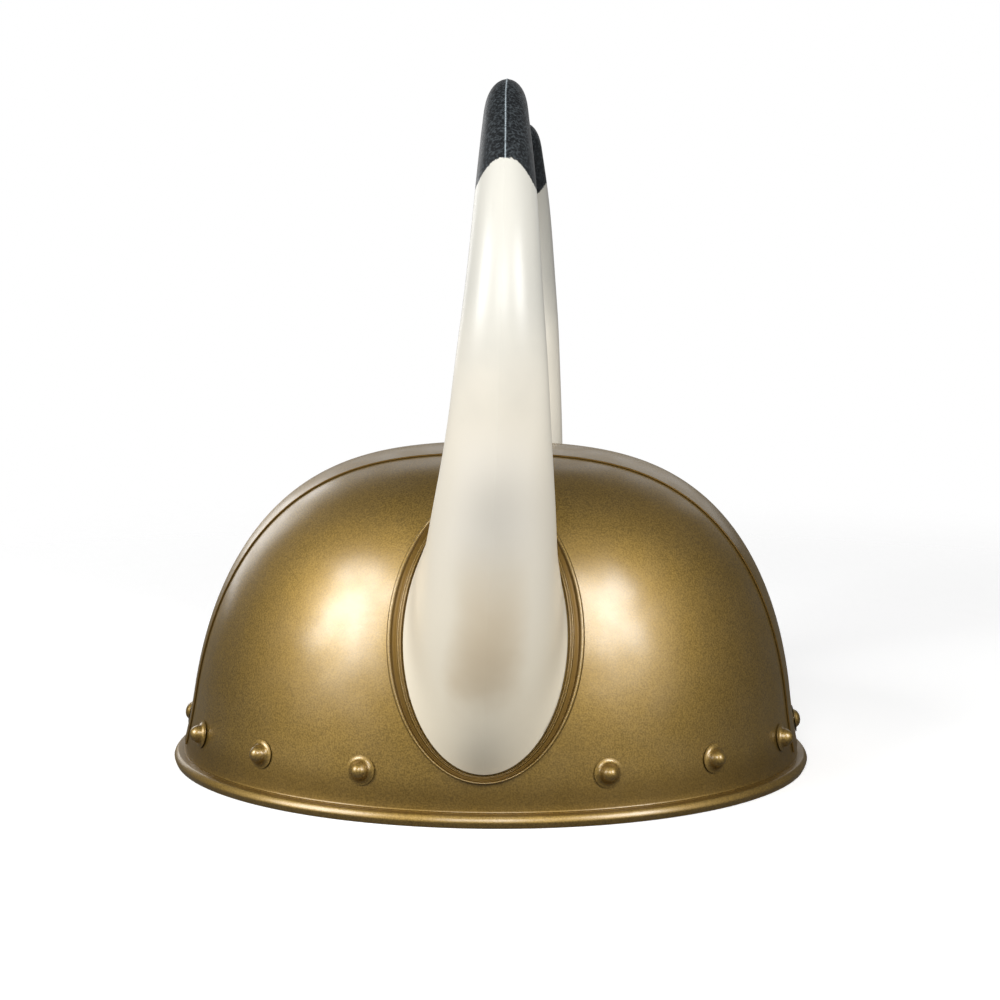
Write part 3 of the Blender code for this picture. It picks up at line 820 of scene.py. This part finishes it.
def section_loop(section, side):
    """One level of the horn: an oval between the two ends that its row gives."""
    outer, inner = section[0:2], section[2:4]
    turns = horn_turns(section[5])
    place = (outer + inner) / 2.0 + np.outer(np.cos(turns), (outer - inner) / 2.0)
    return np.stack((section[4] + section[5] * np.sin(turns), side * place[:, 0], place[:, 1]), axis=1)


def inset(section, wall):
    """The same section, smaller by a wall all round."""
    outer, inner = section[0:2], section[2:4]
    step = (outer - inner) * wall / np.linalg.norm(outer - inner)
    return np.concatenate((outer - step, inner + step, (section[4], section[5] - wall)))


def rounded_end(last, before, length, count):
    """Sections that round off the horn past its last one, and the point that they close on."""
    middle = (last[0:2] + last[2:4]) / 2.0
    half = (last[0:2] - last[2:4]) / 2.0
    ahead = np.array((-half[1], half[0])) / np.linalg.norm(half)
    if np.dot(ahead, middle - (before[0:2] + before[2:4]) / 2.0) < 0.0:
        ahead = -ahead
    result = []
    for step in range(1, count + 1):
        turn = math.pi / 2.0 * step / (count + 1)
        centre = middle + ahead * length * math.sin(turn)
        reach_out = half * math.cos(turn)
        result.append(np.concatenate((centre + reach_out, centre - reach_out,
                                      (last[4], last[5] * math.cos(turn)))))
    end = middle + ahead * length
    return result, np.array((last[4], end[0], end[1]))


def run_of(loops):
    """Mean distance along a stack of loops."""
    steps = [np.linalg.norm(b - a, axis=1).mean() for a, b in zip(loops, loops[1:])]
    return np.concatenate(([0.0], np.cumsum(steps)))


def horn_rows(sections, root, length, side, count, tip_count):
    """Loops from the root to the tip, smooth along the horn, and the point that closes them."""
    controls = [root] + [section_loop(section, side) for section in sections]
    places = run_of(controls)
    rows = smooth_line(places, np.array(controls), np.linspace(0.0, places[-1], count))
    ends, tip = rounded_end(sections[-1], sections[-2], length, tip_count)
    rows = list(rows) + [section_loop(section, side) for section in ends]
    tip = np.array((tip[0], side * tip[1], tip[2]))
    stack = np.array(rows)
    first = count - TIP_BLEND_ROWS
    for _ in range(TIP_BLEND_PASSES):
        stack[first:-2] = (stack[first - 1:-3] + 2.0 * stack[first:-2] + stack[first + 1:-1]) / 4.0
    return stack, tip


def wall_places(turn, rise, out):
    """Places on the bowl's wall, worked out for the horn's first loop."""
    height = height_at(rise)
    level = height / BOWL_HEIGHT
    half_length, half_width = half_sizes(height)
    along, side = np.cos(turn), np.sin(turn)
    place = np.stack((half_length * along + CROWN_LEAN * level, half_width * side, height), axis=1)
    left = 1.0 - level ** HEIGHT_POWER
    dome = HEIGHT_POWER * level ** (HEIGHT_POWER - 1.0) * left ** (1.0 / SECTION_POWER - 1.0)
    dome /= SECTION_POWER * BOWL_HEIGHT
    falls = []
    for full, flare, start in BOWL_WAYS:
        falls.append(full * (dome + 2.0 * flare * np.clip(1.0 - height / start, 0.0, 1.0) / start))
    slope_z = along ** 2 * falls[0] / half_length + side ** 2 * falls[1] / half_width
    slope_z -= along / half_length * CROWN_LEAN / BOWL_HEIGHT
    slope = np.stack((along / half_length, side / half_width, slope_z), axis=1)
    return place + slope / np.linalg.norm(slope, axis=1, keepdims=True) * out


def root_oval(reach, side):
    """Turn and rise on the wall of the oval round a horn's root, grown by a reach."""
    turns = horn_turns(ROOT_HALF_LENGTH)
    return oval(ROOT_HALF_LENGTH + reach, ROOT_HALF_HEIGHT + reach, turns, side)


def horn_side(trim, reach, out, side, count, tip_count):
    """One side of the horn's wall: its loops from the root to the tip, and the point that closes them."""
    sections = [inset(np.array(section, float), trim) for section in HORN_SECTIONS]
    root = wall_places(*root_oval(reach, side), out)
    return horn_rows(sections, root, TIP_LENGTH - trim, side, count, tip_count)


def horn_table(label, side):
    """One horn: its skin, the neck and flange that are laid on the bowl, and its hollow."""
    seat = -(WALL + SEAT_GAP)
    back = seat - FLANGE_THICKNESS
    skin, tip = horn_side(HORN_TRIM, 0.0, NECK_TOP, side, HORN_ROWS, HORN_TIP_ROWS)
    skin = raise_seam(skin, tip)
    necks = [row(*root_oval(reach, side), out)
             for reach, out in ((0.0, seat), (FLANGE_REACH, seat), (FLANGE_REACH, back))]
    hollow, hollow_tip = horn_side(HORN_WALL, -HORN_WALL, back, side, HOLLOW_ROWS, HOLLOW_TIP_ROWS)
    columns = skin.shape[1]
    loops = len(skin) + len(necks) + len(hollow)
    laid = slice(1 + len(skin) * columns, 1 + (len(skin) + len(necks)) * columns)
    places = np.zeros((2 + loops * columns, 3))
    places[:laid.start] = np.concatenate([tip[None]] + list(skin[::-1]))
    places[laid.stop:] = np.concatenate(list(hollow) + [hollow_tip[None]])
    table = np.zeros((len(places), 5))
    table[laid] = np.concatenate(necks)
    seated = np.zeros(len(places), bool)
    seated[laid] = True
    faces = loft_faces([1] + [columns] * loops + [1])
    piece = table_object(f"horn_{label}_skin", table, faces, places, seated)
    around = np.cos(np.concatenate(([0.0], np.tile(horn_turns(ROOT_HALF_LENGTH), loops), [0.0])))
    mark_paint(piece.data, places, around, np.arange(len(places)) < laid.start, label)
    return piece


def raise_seam(stack, tip):
    """Push the seam columns out along the skin, less towards the very tip."""
    along = np.gradient(stack, axis=0)
    round_way = np.roll(stack, -1, axis=1) - np.roll(stack, 1, axis=1)
    normal = np.cross(round_way, along)
    normal /= np.maximum(np.linalg.norm(normal, axis=2, keepdims=True), 1e-12)
    middle = stack.mean(axis=1, keepdims=True)
    outward = np.sign(np.sum(normal * (stack - middle), axis=2, keepdims=True))
    lift = seam_height(ROOT_HALF_LENGTH)[None, :, None]
    near_tip = np.linalg.norm(stack - tip, axis=2, keepdims=True)
    fade = np.clip(near_tip / SEAM_FADE, 0.0, 1.0)
    painted = np.clip((stack[:, :1, 2:] - SEAM_START) / SEAM_FADE, SEAM_FAINT, 1.0)
    return stack + normal * outward * lift * fade * painted


def mark_paint(mesh, places, around, outside, label):
    """Marks for the finish: millimetres past the paint's edge, outer face, and worn seam."""
    outer, middle, inner = PAINT_EDGE[label]
    edge = middle + (outer - middle) * np.maximum(around, 0.0) ** 2
    edge = edge + (inner - middle) * np.maximum(-around, 0.0) ** 2
    past = np.where(outside, (places[:, 2] - edge) * 1000.0, BARE)
    seam = np.exp(-(np.sqrt(1.0 - around ** 2) * ROOT_HALF_LENGTH / SEAM_WORN_WIDTH) ** 2)
    set_attribute(mesh, "past_paint_edge", past.astype(np.float32))
    set_attribute(mesh, "outer_face", np.maximum(around, 0.0).astype(np.float32))
    set_attribute(mesh, "seam", np.where(outside, seam, 0.0).astype(np.float32))


# Rivets -------------------------------------------------------------------------------------------

def rivet_profile(seat, rise):
    """Head, hollow foot and shank from the top of the head down: (radius, height) pairs."""
    head = RIVET_RADIUS * HEAD_SHARE
    points = [(0.0, seat + rise)]
    for degrees in DOME_DEGREES:
        turn = math.radians(degrees)
        points.append((head * math.cos(turn), seat + rise * math.sin(turn)))
    start, start_height = points[-1]
    # the foot sweeps out from the head to the wall
    for degrees in FOOT_DEGREES:
        turn = math.radians(degrees)
        points.append((start + (RIVET_RADIUS - start) * (1.0 - math.cos(turn)),
                       start_height + (seat + FOOT_EDGE - start_height) * math.sin(turn)))
    tail = -(WALL + SHANK_END)
    return points + [(RIVET_RADIUS, seat), (SHANK_RADIUS, seat), (SHANK_RADIUS, tail), (0.0, tail)]


def turned_piece(name, profile, segments):
    """A closed turned piece on the Z axis."""
    mesh = bpy.data.meshes.new(name)
    turns = even_turns(segments)
    points = []
    sizes = []
    for radius, height in profile:
        if radius == 0.0:
            points.append((0.0, 0.0, height))
            sizes.append(1)
        else:
            points += [(radius * math.cos(turn), radius * math.sin(turn), height) for turn in turns]
            sizes.append(segments)
    mesh.from_pydata(points, [], loft_faces(sizes))
    return add_object(name, mesh)


def rivet_spots():
    """Turn and rise of each rivet, and whether it is one of the flatter ones at the band's ends."""
    spots = []
    for side in (1.0, -1.0):
        for length, height in RIVET_SPOTS:
            for way in (1.0, -1.0):
                turn, rise = on_side(FITTING_SHIFT + way * length, height, side)
                spots.append((float(turn), float(rise), False))
    for turn in (0.0, math.pi):
        spots.append((turn, float(rise_at(END_RIVET_HEIGHT)), True))
    return spots


def hole_guides(spots):
    """Plugs that cut the rivets' holes."""
    guides = []
    radius = SHANK_RADIUS + SHANK_CLEARANCE
    profile = ((0.0, HOLE_REACH), (radius, HOLE_REACH), (radius, -HOLE_REACH), (0.0, -HOLE_REACH))
    for turn, rise, _ in spots:
        place = wall_places(np.array([turn]), np.array([rise]), 0.0)[0]
        ahead = wall_places(np.array([turn]), np.array([rise]), STEP_OUT)[0]
        aim = Vector(ahead - place).to_track_quat("Z", "Y").to_matrix().to_4x4()
        guide = turned_piece("guide", profile, HOLE_SEGMENTS)
        guide.data.transform(Matrix.Translation(Vector(place)) @ aim)
        guides.append(guide)
    return guides


def oval_guide(side):
    """A straight oval plug through one side wall."""
    turns = even_turns(OVAL_SEGMENTS)
    x = FITTING_SHIFT + (ROOT_HALF_LENGTH + HOLE_CLEARANCE) * np.sin(turns)
    z = ROOT_HEIGHT - (ROOT_HALF_HEIGHT + HOLE_CLEARANCE) * np.cos(turns)
    points = []
    for share in OVAL_PLUG:
        points += [(x[index], side * BOWL_HALF_WIDTH * share, z[index]) for index in range(OVAL_SEGMENTS)]
    faces = loft_faces([OVAL_SEGMENTS, OVAL_SEGMENTS])
    faces += [tuple(range(OVAL_SEGMENTS)), tuple(range(OVAL_SEGMENTS, 2 * OVAL_SEGMENTS))]
    mesh = bpy.data.meshes.new("guide")
    mesh.from_pydata(points, [], faces)
    return add_object("guide", mesh)


# Finishes -----------------------------------------------------------------------------------------

def spray_group():
    """Sprayed paint: fine flake, orange peel, waves and slow drifts of tone."""
    inputs = [(f"{label} Size", "NodeSocketFloat", size) for label, size, _ in SPRAY_LAYERS]
    outputs = [(label, "NodeSocketFloat") for label, _, _ in SPRAY_LAYERS]
    tree, given, result = new_tree("Sprayed Paint", "ShaderNodeTree", inputs, outputs)
    here = add_node(tree, "ShaderNodeTexCoord").outputs["Object"]
    for label, _, detail in SPRAY_LAYERS:
        noise = add_node(tree, "ShaderNodeTexNoise", {"Vector": here, "Detail": detail, "Roughness": 0.55})
        join(tree, 1.0 / Wire(tree, given.outputs[f"{label} Size"]), noise.inputs["Scale"])
        join(tree, noise.outputs["Fac"], result.inputs[label])
    return tree


def use_spray(tree, group, sizes=()):
    """The sprayed paint in a finish: its flake, peel, wave and drift."""
    node = add_node(tree, "ShaderNodeGroup", dict(sizes), node_tree=group)
    return [Wire(tree, node.outputs[label]) for label, _, _ in SPRAY_LAYERS]


def new_finish(name):
    """A material, its tree and its shader."""
    finish = bpy.data.materials.new(name)
    finish.use_nodes = True
    return finish, finish.node_tree, finish.node_tree.nodes["Principled BSDF"]


def marked(tree, name):
    """A mark that the piece's own mesh carries."""
    return Wire(tree, add_node(tree, "ShaderNodeAttribute", attribute_name=name).outputs["Fac"])


def height_here(tree):
    """Height over the floor."""
    here = add_node(tree, "ShaderNodeTexCoord").outputs["Object"]
    return Wire(tree, add_node(tree, "ShaderNodeSeparateXYZ", {"Vector": here}).outputs["Z"])


def roughen(tree, shader, height, strength, distance):
    """Fine relief on the surface."""
    bump = add_node(tree, "ShaderNodeBump", {"Strength": strength, "Distance": distance, "Height": height})
    join(tree, bump.outputs["Normal"], shader.inputs["Normal"])


def gold_spray(spray, name="gold_spray", dull=0.0):
    """Metallic gold spray paint, satin, with its flake showing under a clear binder, and painted shade
    laid on it.
    """
    finish, tree, shader = new_finish(name)
    flake, peel, wave, drift = use_spray(tree, spray)
    tone = spread(tree, flake, 0.30, 0.70)
    cloud = spread(tree, drift, 0.35, 0.65)
    up = height_here(tree)
    # painted shade: darker down the wall's foot and on the lip, and wherever a piece is marked with it
    foot = spread(tree, up, *FOOT_SHADE_FADE, 0.0, FOOT_SHADE) * spread(tree, up, *LIP_SHADE_FADE, LIP_SHADE, 1.0)
    shade_mark = foot + marked(tree, "thin_paint") * (1.0 - foot)
    base = mix_colours(tree, tone, GOLD_DEEP, GOLD_BRIGHT)
    base = mix_colours(tree, cloud * CLOUD_SHARE, base, GOLD_CLOUDED)
    base = mix_colours(tree, shade_mark * SHADE_SHARE, base, GOLD_PAINTED_SHADE)
    join(tree, base, shader.inputs["Base Color"])
    shader.inputs["Metallic"].default_value = 1.0
    join(tree, GOLD_ROUGHNESS + tone * 0.08 + cloud * 0.03 + dull, shader.inputs["Roughness"])
    gloss = spread(tree, wave * 0.7 + peel * 0.3, 0.30, 0.70, 0.70, 1.0)
    join(tree, gloss * (1.0 - shade_mark * SHADE_SHARE), shader.inputs["Coat Weight"])
    shader.inputs["Coat Roughness"].default_value = BINDER_ROUGHNESS
    shader.inputs["Coat IOR"].default_value = BINDER_IOR
    roughen(tree, shader, peel + flake * 0.5 + wave * 2.0, 0.5, 0.0001)
    return finish


def horn_plastic(spray, name="ivory_plastic"):
    """Ivory plastic with a dipped black tip, and painted light and shade along the horn; the paint's edge
    and the seam come from the horn itself.
    """
    finish, tree, shader = new_finish(name)
    flake, peel, _, drift = use_spray(tree, spray, HORN_LAYERS)
    up = height_here(tree)
    uneven = up + (drift - 0.5) * 0.03
    # painted bounce light towards the root
    ivory = mix_colours(tree, spread(tree, uneven, *ROOT_LIT_RANGE), IVORY_ROOT_LIT, IVORY)
    # painted shade greying the horn's top
    ivory = mix_colours(tree, spread(tree, uneven, *TOP_SHADE_RANGE), ivory, IVORY_TOP_SHADE)
    outer = marked(tree, "outer_face")
    # painted light on the outer face round the horn's middle
    lit_face = spread(tree, outer, 0.50, 1.00)
    for limits in LIT_FACE_RANGES:
        lit_face = lit_face * spread(tree, up, *limits)
    ivory = mix_colours(tree, lit_face, ivory, IVORY_LIT_FACE)
    # painted shade, tan, low on the outer face
    under_shade = spread(tree, outer + (drift - 0.5) * 0.25, 0.76, 1.04)
    for limits in UNDER_SHADE_RANGES:
        under_shade = under_shade * spread(tree, uneven, *limits)
    ivory = mix_colours(tree, under_shade * UNDER_SHADE_SHARE, ivory, IVORY_UNDER_SHADE)
    black = mix_colours(tree, spread(tree, flake, 0.42, 0.68), TIP_BLACK, TIP_GREY)
    worn = marked(tree, "seam") * spread(tree, flake, 0.30, 0.55, 0.35, 0.90)
    black = mix_colours(tree, worn, black, SEAM_WORN)
    ragged = marked(tree, "past_paint_edge") + (flake - 0.5) * 1.6 + (drift - 0.5) * 2.0
    tip = spread(tree, ragged, -0.25, 0.25)
    join(tree, mix_colours(tree, tip, ivory, black), shader.inputs["Base Color"])
    join(tree, IVORY_ROUGHNESS + flake * 0.04 + tip * 0.12, shader.inputs["Roughness"])
    roughen(tree, shader, peel * 0.25 * (1.0 - tip) + flake * tip * 0.5, 0.35, 0.0003)
    return finish


def by_camera(tree, lighting, shown):
    """One shader for the light that falls on the helmet, another for what the camera sees."""
    path = add_node(tree, "ShaderNodeLightPath")
    choice = add_node(tree, "ShaderNodeMixShader", {"Fac": path.outputs["Is Camera Ray"]})
    join(tree, lighting.outputs[0], choice.inputs[1])
    join(tree, shown.outputs[0], choice.inputs[2])
    return choice


def floor_finish():
    """Pale studio floor that fades into the white around it."""
    finish = bpy.data.materials.new("studio_floor")
    finish.use_nodes = True
    tree = finish.node_tree
    tree.nodes.clear()
    matt = add_node(tree, "ShaderNodeBsdfDiffuse", {"Color": (FLOOR_COLOUR,) * 3 + (1.0,)})
    glow = add_node(tree, "ShaderNodeEmission", {"Color": (1.0, 1.0, 1.0, 1.0), "Strength": FLOOR_GLOW})
    shown = add_node(tree, "ShaderNodeAddShader")
    join(tree, matt.outputs[0], shown.inputs[0])
    join(tree, glow.outputs[0], shown.inputs[1])
    bounced = add_node(tree, "ShaderNodeBsdfDiffuse", {"Color": (FLOOR_BOUNCE,) * 3 + (1.0,)})
    seen = by_camera(tree, bounced, shown)
    here = add_node(tree, "ShaderNodeTexCoord").outputs["Object"]
    far = add_node(tree, "ShaderNodeVectorMath", {"Vector": here}, operation="LENGTH")
    faded = add_node(tree, "ShaderNodeMixShader")
    join(tree, spread(tree, far.outputs["Value"], *FLOOR_FADE), faded.inputs[0])
    join(tree, seen.outputs[0], faded.inputs[1])
    join(tree, add_node(tree, "ShaderNodeBsdfTransparent").outputs[0], faded.inputs[2])
    output = add_node(tree, "ShaderNodeOutputMaterial")
    join(tree, faded.outputs[0], output.inputs["Surface"])
    return finish


# Studio -------------------------------------------------------------------------------------------

def direction(azimuth, elevation):
    """Away from the helmet: azimuth 0 towards the camera's side, 90 towards the helmet's front."""
    a, e = math.radians(azimuth), math.radians(elevation)
    return Vector((math.sin(a) * math.cos(e), -math.cos(a) * math.cos(e), math.sin(e)))


def add_softbox(name, azimuth, elevation, distance, width, height, power):
    data = bpy.data.lights.new(name, "AREA")
    data.shape = "RECTANGLE"
    data.size = width
    data.size_y = height
    data.energy = power
    lamp = add_object(name, data)
    away = direction(azimuth, elevation)
    lamp.location = AIM + away * distance
    lamp.rotation_mode = "QUATERNION"
    lamp.rotation_quaternion = away.to_track_quat("Z", "Y")


def add_studio():
    world = bpy.data.worlds.new("studio")
    world.use_nodes = True
    tree = world.node_tree
    shown = tree.nodes["Background"]
    shown.inputs["Color"].default_value = (1.0, 1.0, 1.0, 1.0)
    lit = add_node(tree, "ShaderNodeBackground", {"Color": (1.0, 1.0, 1.0, 1.0), "Strength": ROOM_LIGHT})
    join(tree, by_camera(tree, lit, shown).outputs[0], tree.nodes["World Output"].inputs["Surface"])
    bpy.context.scene.world = world
    for softbox in SOFTBOXES:
        add_softbox(*softbox)
    add_floor()


def add_floor():
    mesh = bpy.data.meshes.new("floor")
    bm = bmesh.new()
    bmesh.ops.create_circle(bm, cap_ends=True, cap_tris=True, segments=96, radius=FLOOR_RADIUS)
    bm.to_mesh(mesh)
    bm.free()
    floor = add_object("floor", mesh)
    floor.location.z = -FLOOR_DROP
    mesh.materials.append(floor_finish())


def add_camera():
    data = bpy.data.cameras.new("camera")
    data.sensor_width = 36.0
    data.lens = CAMERA_LENS
    data.clip_start = 0.05
    data.clip_end = 50.0
    camera = add_object("camera", data)
    turn = Matrix.Rotation(math.radians(CAMERA_TURN), 4, "Z")
    pitch = Matrix.Rotation(math.radians(CAMERA_PITCH), 4, "X")
    roll = Matrix.Rotation(math.radians(CAMERA_ROLL), 4, "Z")
    camera.matrix_world = Matrix.Translation(CAMERA_PLACE) @ turn @ pitch @ roll
    bpy.context.scene.camera = camera
    bpy.context.scene.view_settings.view_transform = "Standard"


def seat_piece(piece, slot, *nodes):
    """Tie a finished piece to the frame."""
    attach(piece, "root")
    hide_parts(*nodes)


def main():
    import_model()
    spray = spray_group()
    gold = gold_spray(spray)
    inside = gold_spray(spray, "gold_spray_inside", INSIDE_DULL)
    ivory = horn_plastic(spray)
    sizes = dict(BOWL_SIZES)
    wall = bowl_wall_group()
    skin = bowl_skin_tree(wall)
    in_gold = {**sizes, "Outside Finish": gold, "Inside Finish": inside}
    in_ivory = {**sizes, "Outside Finish": ivory, "Inside Finish": ivory}
    spots = rivet_spots()

    shell = run_tree(skin, helmet_skin(), in_gold)
    shell = cut(shell, hole_guides(spots) + [oval_guide(1.0), oval_guide(-1.0)])
    seat_piece(finish_mesh(shell), "gold_spray", "helmet_shell")
    band = run_tree(skin, band_table(), in_gold)
    band = cut(band, hole_guides([spot for spot in spots if spot[2]]))
    seat_piece(finish_mesh(band), "gold_spray", "crown_band")
    for label, side in (("left", 1.0), ("right", -1.0)):
        collar = run_tree(skin, collar_table(f"horn_collar_{label}_skin", side), in_gold)
        seat_piece(finish_mesh(collar), "gold_spray", f"horn_collar_{label}")
        horn = run_tree(skin, horn_table(label, side), in_ivory)
        seat_piece(finish_mesh(horn), "ivory_plastic", f"horn_{label}")

    round_rivet = turned_piece("round_rivet", rivet_profile(SEAT_GAP, RIVET_RISE), RIVET_SEGMENTS)
    end_seat = BAND_GAP + BAND_THICKNESS + SEAT_GAP
    flat_rivet = turned_piece("flat_rivet", rivet_profile(end_seat, END_RIVET_RISE), RIVET_SEGMENTS)
    marks = np.array([(turn, rise) for turn, rise, _ in spots])
    guide = table_object("rim_rivets", row(marks[:, 0], marks[:, 1], 0.0), [])
    set_attribute(guide.data, "flat", np.array([flat for _, _, flat in spots]), "BOOLEAN")
    rivet_inputs = {**sizes, "Round Rivet": round_rivet, "Flat Rivet": flat_rivet, "Finish": gold}
    rivets = run_tree(rim_rivets_tree(wall), guide, rivet_inputs)
    for shape in (round_rivet, flat_rivet):
        bpy.data.objects.remove(shape, do_unlink=True)
    seat_piece(finish_mesh(rivets), "gold_spray", *[f"rivet_{number:02d}" for number in range(1, 15)])

    add_studio()
    add_camera()


main()
